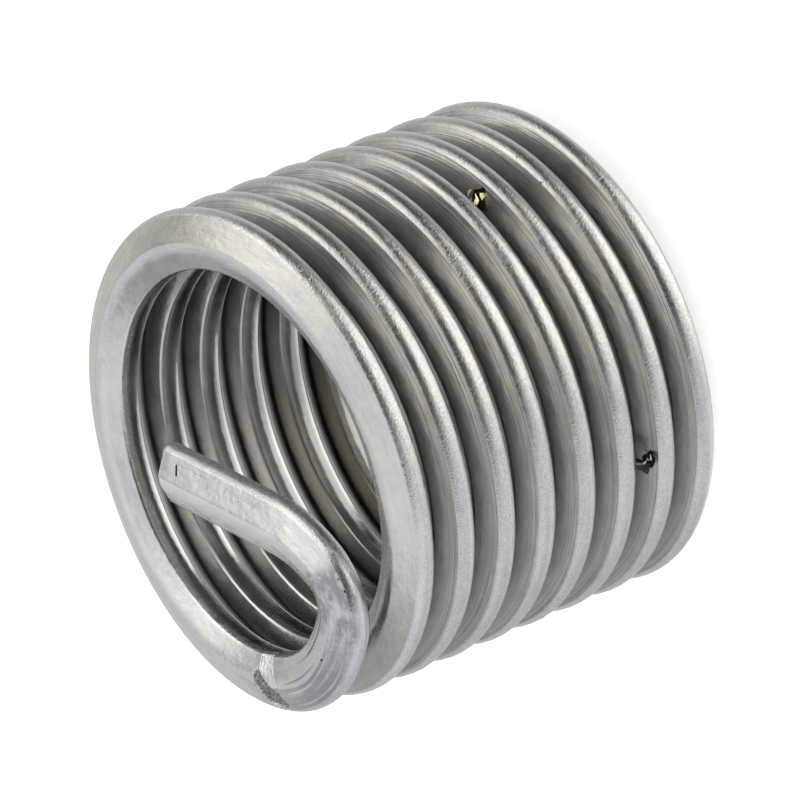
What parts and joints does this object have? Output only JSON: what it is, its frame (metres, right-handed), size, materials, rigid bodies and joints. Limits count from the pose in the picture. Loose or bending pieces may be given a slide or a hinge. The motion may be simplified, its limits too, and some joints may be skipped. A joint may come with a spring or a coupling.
{
  "type": "helical thread insert",
  "caption": "Wire thread insert: diamond-section wire wound into a right-hand coil, with a bent drive tang across the bore at one end.",
  "frame": {"origin": "on the coil's axis at the base, where the plain end stands", "axes": "+Z along the coil's axis from the plain end to the tang end; +X through the cut face of the plain end"},
  "size_m": [0.0102, 0.0102, 0.009],
  "materials": {
    "stainless_wire": "cold-drawn stainless steel, satin, with fine drawing lines"
  },
  "bodies": {
    "root": {"insert_wire": "stainless_wire"}
  },
  "joints": []
}
